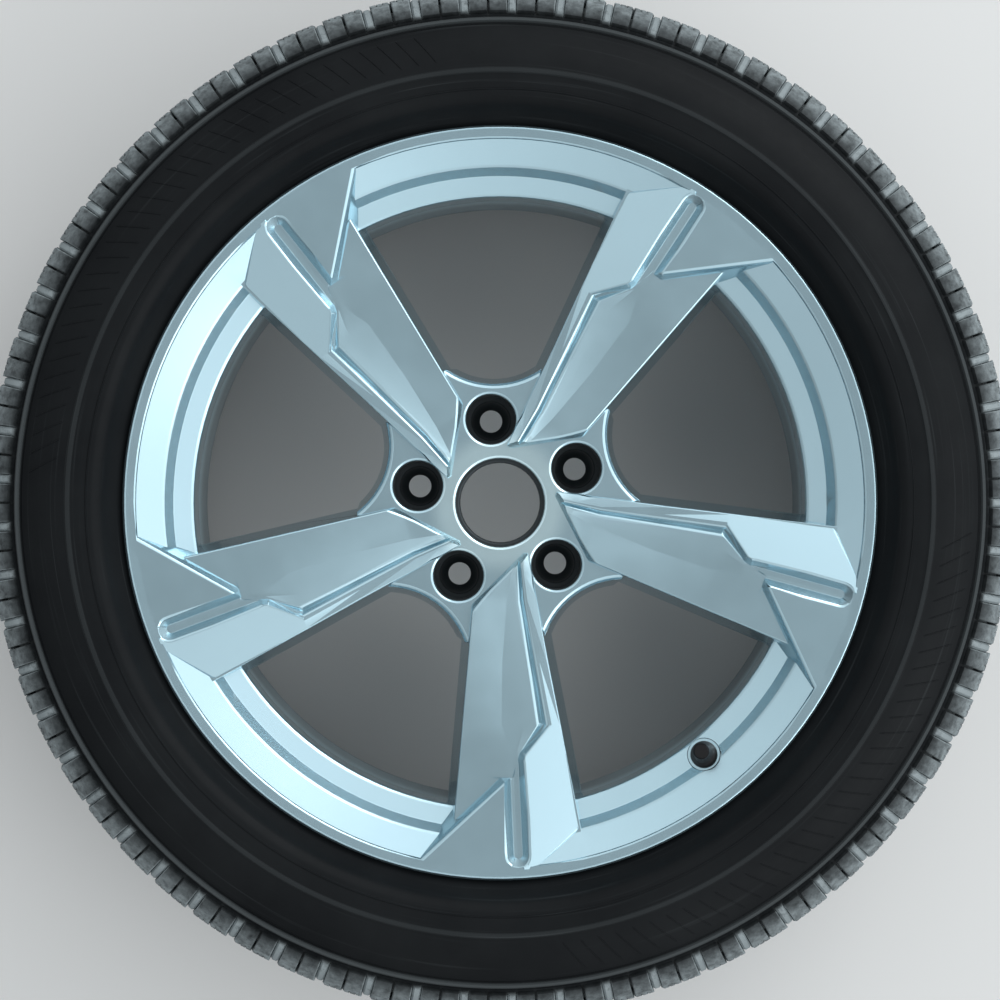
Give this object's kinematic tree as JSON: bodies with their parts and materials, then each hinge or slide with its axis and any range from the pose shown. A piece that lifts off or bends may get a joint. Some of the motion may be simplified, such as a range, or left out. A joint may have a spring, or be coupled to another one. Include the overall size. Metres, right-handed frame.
{
  "type": "wheel and tyre assembly",
  "caption": "Cast five-spoke car wheel with folded, grooved spokes, a mounted winter tyre, a snap-in valve with a screw cap, and a strip of balance weights inside the barrel.",
  "frame": {"origin": "centre of the wheel: the axle line at the middle of the rim's width, which is also the middle of the tyre", "axes": "+Z along the axle, out of the wheel's face; the wheel lies on the tyre's back sidewall"},
  "size_m": [0.6897, 0.6898, 0.242],
  "materials": {
    "silver_paint": "silver metallic paint under clear coat",
    "tyre_rubber": "matt black rubber, grey with dust on the shoulders",
    "valve_rubber": "satin black",
    "brass": "turned",
    "spring_steel": "bright wire",
    "cap_plastic": "moulded black",
    "tape_foam": "foam tape",
    "weight_zinc": "zinc, dull"
  },
  "bodies": {
    "wheel": {"rim": "silver_paint", "tyre": "tyre_rubber", "valve_stem": "valve_rubber", "valve_tube": "brass", "core_body": "brass", "core_gasket": "valve_rubber", "core_spring": "spring_steel", "weight_tape": "tape_foam", "balance_weight_1": "weight_zinc", "balance_weight_2": "weight_zinc", "balance_weight_3": "weight_zinc", "balance_weight_4": "weight_zinc", "balance_weight_5": "weight_zinc", "balance_weight_6": "weight_zinc", "balance_weight_7": "weight_zinc", "balance_weight_8": "weight_zinc"},
    "core_pin": {"core_pin": "brass", "core_cup_seal": "valve_rubber"},
    "cap_thread": {"cap_seal": "valve_rubber"},
    "cap": {"valve_cap": "cap_plastic"}
  },
  "joints": [
    {"name": "cap_lift", "type": "slide", "parent": "wheel", "child": "cap_thread", "axis": [-0.1586, 0.1959, 0.9677], "range_m": [0, 0.00476]},
    {"name": "cap_turn", "type": "hinge", "parent": "cap_thread", "child": "cap", "pos_m": [0.13562, -0.16748, 0.08955], "axis": [-0.1586, 0.1959, 0.9677], "range_deg": [0, 2160]},
    {"name": "pin_press", "type": "slide", "parent": "wheel", "child": "core_pin", "axis": [0.1586, -0.1959, -0.9677], "range_m": [0, 0.0012], "stiffness_N_per_m": 150, "springref_m": -0.003, "deforming": ["core_spring"]}
  ],
  "couplings": [
    {"joint": "cap_turn", "follows": "cap_lift", "rad_per_m": 7913.3}
  ]
}
